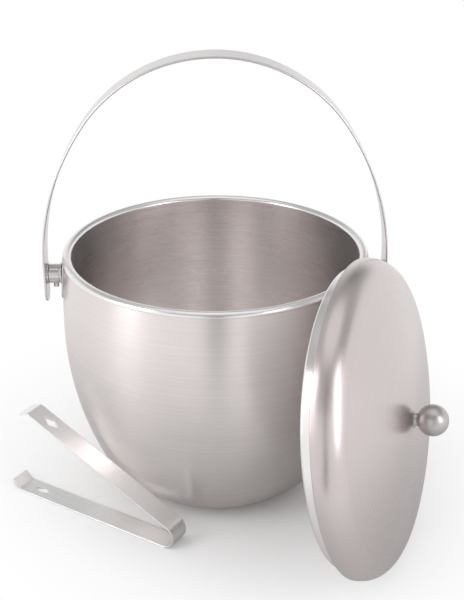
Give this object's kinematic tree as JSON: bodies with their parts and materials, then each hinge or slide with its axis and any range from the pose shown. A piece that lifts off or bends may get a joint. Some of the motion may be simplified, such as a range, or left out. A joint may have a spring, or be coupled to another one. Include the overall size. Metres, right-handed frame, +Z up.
{
  "type": "ice bucket",
  "caption": "Round double-walled steel ice bucket with a rolled lip, a swinging strap bail, a domed lid with a ball knob, and spring tongs with clawed tips.",
  "frame": {"origin": "middle of the bucket's flat base, on the surface it stands on", "axes": "+Z up, the bail's pivot axis along X, the lid and tongs in front of the bucket, towards -Y"},
  "size_m": [0.2999, 0.304, 0.3094],
  "materials": {
    "bowl": "satin, brushed round the bowl",
    "liner": "satin inside, polished rolled lip",
    "lug": "polished",
    "strap": "polished, brushed along its length",
    "lid": "satin",
    "knob": "satin polished",
    "tongs": "satin, brushed along the arms",
    "fastener": "bright turned"
  },
  "bodies": {
    "bucket": {"outer_shell": "bowl", "base_disc": "bowl", "inner_liner": "liner", "lug_plate_left": "lug", "lug_plate_right": "lug", "lug_post_left": "lug", "lug_post_right": "lug", "lug_nuts": "fastener", "set_screws": "fastener"},
    "bail": {"bail_strap": "strap", "pivot_pins": "lug", "bail_washers": "lug"},
    "lid": {"lid_dome": "lid", "lid_pan": "lid", "knob_ball": "knob", "knob_neck": "knob", "knob_screw": "fastener", "knob_washer": "fastener"},
    "tongs": {"tongs_lower_arm": "tongs"},
    "tongs_arm": {"tongs_upper_arm": "tongs"}
  },
  "joints": [
    {"name": "bail_swing", "type": "hinge", "parent": "bucket", "child": "bail", "pos_m": [0, 0, 0.157], "axis": [1, 0, 0], "range_deg": [-138, 45]},
    {"name": "lid_lift", "type": "slide", "parent": "bucket", "child": "lid", "axis": [0.8982, -0.3999, 0.1822], "range_m": [0, 0.2]},
    {"name": "tongs_lift", "type": "slide", "parent": "bucket", "child": "tongs", "axis": [-0.4717, -0.7263, 0.5], "range_m": [0, 0.2]},
    {"name": "tongs_squeeze", "type": "hinge", "parent": "tongs", "child": "tongs_arm", "pos_m": [-0.02685, -0.10022, 0.00723], "axis": [-0.5446, -0.8387, 0], "range_deg": [0, 24], "stiffness_Nm_per_rad": 1.5}
  ]
}
